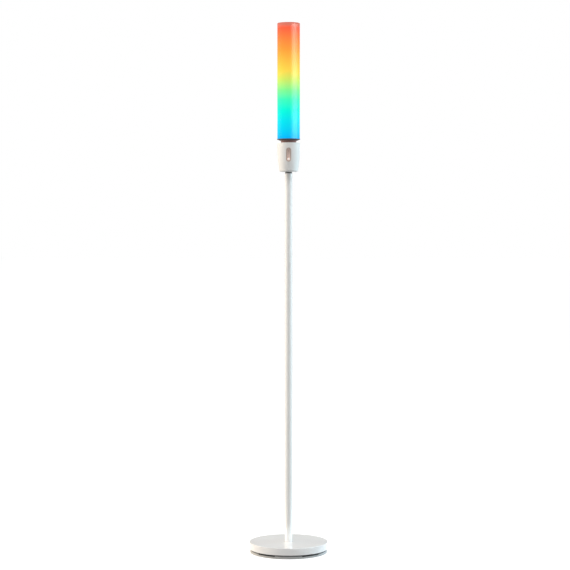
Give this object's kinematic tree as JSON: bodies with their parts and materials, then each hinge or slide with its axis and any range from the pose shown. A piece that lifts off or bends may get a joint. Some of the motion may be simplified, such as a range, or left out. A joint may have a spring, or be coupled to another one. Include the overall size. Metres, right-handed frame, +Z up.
{
  "type": "floor lamp",
  "caption": "Slim corner floor lamp: weighted round base, thin pole, tapered head with a slide dimmer and a tall frosted tube lit in a colour gradient.",
  "frame": {"origin": "on the floor, on the axis of the pole, at the centre of the round base", "axes": "+Z up along the pole; the slider faces -Y; +X to the right when the slider is seen from the front"},
  "size_m": [0.214, 0.214, 1.435],
  "materials": {
    "white_paint": "satin",
    "white_plastic": "satin",
    "knob_white": "gloss",
    "ballast_iron": "rough",
    "black_plastic": "matt",
    "dark_plastic": "matt",
    "grey_rubber": "matt",
    "zinc_steel": "satin",
    "contact_metal": "bright",
    "copper_trim": "satin metallic",
    "board_green": "gloss",
    "diffuser": "frosted, lit from inside",
    "diffuser_end": "frosted",
    "bare_aluminium": "satin",
    "strip_white": "satin",
    "led_yellow": "gloss",
    "lead_black": "matt"
  },
  "bodies": {
    "stand": {"base_shell": "white_paint", "ballast_plate": "ballast_iron", "bottom_plate": "black_plastic", "foot_ring": "grey_rubber", "bottom_screws": "zinc_steel", "base_stud": "zinc_steel", "base_washer": "zinc_steel", "base_nut": "zinc_steel", "dc_jack": "black_plastic", "jack_contacts": "contact_metal", "jack_nut": "zinc_steel", "pole_lower": "white_paint", "pole_middle": "white_paint", "pole_upper": "white_paint", "pole_sockets": "zinc_steel", "pole_spigots": "zinc_steel", "pole_collar": "dark_plastic", "head_stud": "zinc_steel", "head_washer": "zinc_steel", "head_nut": "zinc_steel", "housing_shell": "white_plastic", "housing_lid": "white_plastic", "housing_screws": "zinc_steel", "slot_bezel": "copper_trim", "slide_potentiometer": "zinc_steel", "resistor_track": "dark_plastic", "control_board": "board_green", "board_frame": "dark_plastic", "board_screws": "zinc_steel", "frame_screws": "zinc_steel", "board_parts": "black_plastic", "board_sockets": "white_plastic", "neck_ring": "copper_trim", "neck_screws": "zinc_steel", "lamp_seat": "dark_plastic", "diffuser_tube": "diffuser", "diffuser_cap": "diffuser_end", "led_core": "bare_aluminium", "core_base": "white_plastic", "core_screws": "zinc_steel", "core_spacer": "white_plastic", "led_strips": "strip_white", "led_chips": "led_yellow", "power_lead": "lead_black", "led_lead": "lead_black"},
    "slider": {"slider_knob": "knob_white", "slider_lever": "dark_plastic", "slider_wiper": "contact_metal"}
  },
  "joints": [
    {"name": "slider_travel", "type": "slide", "parent": "stand", "child": "slider", "axis": [0, 0, 1], "range_m": [0, 0.022]}
  ]
}
